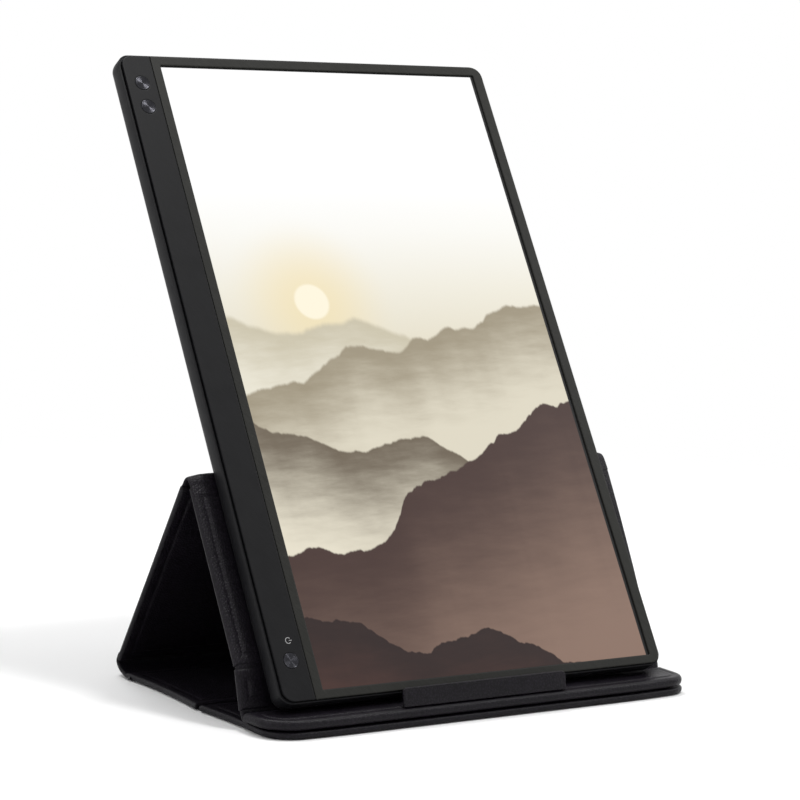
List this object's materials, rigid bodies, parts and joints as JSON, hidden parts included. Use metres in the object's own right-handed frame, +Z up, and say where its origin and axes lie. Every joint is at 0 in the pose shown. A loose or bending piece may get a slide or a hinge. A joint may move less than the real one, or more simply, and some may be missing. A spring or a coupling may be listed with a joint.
{
  "type": "portable monitor with cover",
  "caption": "Flat portrait display leaning on a folded tent cover with a lip, hinged cover panels and press buttons in a side chin.",
  "frame": {"origin": "middle of the cover's underside, on the table", "axes": "+Z up from the table, +X to the viewer's right, -Y towards the viewer"},
  "size_m": [0.251, 0.2108, 0.3165],
  "materials": {
    "cover_leather": "embossed matt leather look",
    "stiffener": "fibre board",
    "magnet": "plated",
    "housing": "fine texture",
    "bezel": "fine diagonal brushing",
    "chin": "fine diagonal brushing",
    "screen_glass": "anti-glare, lit",
    "film": "diffusing film",
    "light_guide": "clear plate",
    "lamp_strip": "lamp strip",
    "moulded_frame": "moulded",
    "module_steel": "zinc plated sheet",
    "circuit": "solder mask",
    "flex_film": "film",
    "cable_film": "film",
    "socket_steel": "plated",
    "switch": "moulded",
    "screw_steel": "plated",
    "button_metal": "turned, dark anodised"
  },
  "bodies": {
    "base": {"lower_front_skin": "cover_leather", "lower_front_board": "stiffener", "lower_rear_skin": "cover_leather", "lower_rear_board": "stiffener", "crease_spine": "cover_leather", "rear_fold_spine": "cover_leather", "base_magnets": "magnet"},
    "rear_panel": {"rear_panel_skin": "cover_leather", "rear_panel_board": "stiffener"},
    "front_panel": {"front_panel_skin": "cover_leather", "front_panel_board": "stiffener", "ridge_spine": "cover_leather"},
    "toe": {"toe_skin": "cover_leather", "toe_board": "stiffener"},
    "strip": {"strip_skin": "cover_leather", "strip_board": "stiffener", "toe_fold_spine": "cover_leather", "strip_magnets": "magnet"},
    "lip": {"lip_skin": "cover_leather", "lip_board": "stiffener"},
    "display": {"rear_housing": "housing", "front_bezel": "bezel", "chin_cover": "chin", "lcd_cell": "screen_glass", "optical_films": "film", "light_guide": "light_guide", "led_bar": "lamp_strip", "lcd_frame": "moulded_frame", "lcd_tray": "module_steel", "timing_board": "circuit", "panel_flex": "flex_film", "video_cable": "cable_film", "main_board": "circuit", "usb_socket": "socket_steel", "key_board": "circuit", "key_switches": "switch", "board_screws": "screw_steel", "housing_screws": "screw_steel"},
    "menu_button": {"menu_button": "button_metal"},
    "select_button": {"select_button": "button_metal"},
    "power_button": {"power_button": "button_metal"}
  },
  "joints": [
    {"name": "rear_fold", "type": "hinge", "parent": "base", "child": "rear_panel", "pos_m": [0, 0.0742, 0.0058], "axis": [-1, 0, 0], "range_deg": [0, 7]},
    {"name": "ridge_fold", "type": "hinge", "parent": "rear_panel", "child": "front_panel", "pos_m": [0, 0.00894, 0.10987], "axis": [1, 0, 0], "range_deg": [0, 15.2]},
    {"name": "kink_fold", "type": "hinge", "parent": "front_panel", "child": "toe", "pos_m": [0, -0.04316, 0.02864], "axis": [-1, 0, 0], "range_deg": [0, 1.3]},
    {"name": "toe_fold", "type": "hinge", "parent": "toe", "child": "strip", "pos_m": [0, -0.0498, 0.0063], "axis": [-1, 0, 0], "range_deg": [0, 7]},
    {"name": "display_tilt", "type": "hinge", "parent": "strip", "child": "display", "pos_m": [0, -0.05913, 0.0121], "axis": [1, 0, 0], "range_deg": [0, 8.2]},
    {"name": "lip_fold", "type": "hinge", "parent": "strip", "child": "lip", "pos_m": [-0.003, -0.07743, 0.01059], "axis": [1, 0, 0], "range_deg": [0, 100]},
    {"name": "menu_press", "type": "slide", "parent": "display", "child": "menu_button", "axis": [0, 0.8462, -0.5329], "range_m": [0, 0.0004], "stiffness_N_per_m": 1500},
    {"name": "select_press", "type": "slide", "parent": "display", "child": "select_button", "axis": [0, 0.8462, -0.5329], "range_m": [0, 0.0004], "stiffness_N_per_m": 1500},
    {"name": "power_press", "type": "slide", "parent": "display", "child": "power_button", "axis": [0, 0.8462, -0.5329], "range_m": [0, 0.0004], "stiffness_N_per_m": 1500}
  ],
  "couplings": [
    {"joint": "ridge_fold", "follows": "rear_fold", "ratio": 2.16},
    {"joint": "kink_fold", "follows": "rear_fold", "ratio": 0.174},
    {"joint": "toe_fold", "follows": "rear_fold", "ratio": 0.986},
    {"joint": "display_tilt", "follows": "rear_fold", "ratio": 1.16}
  ]
}
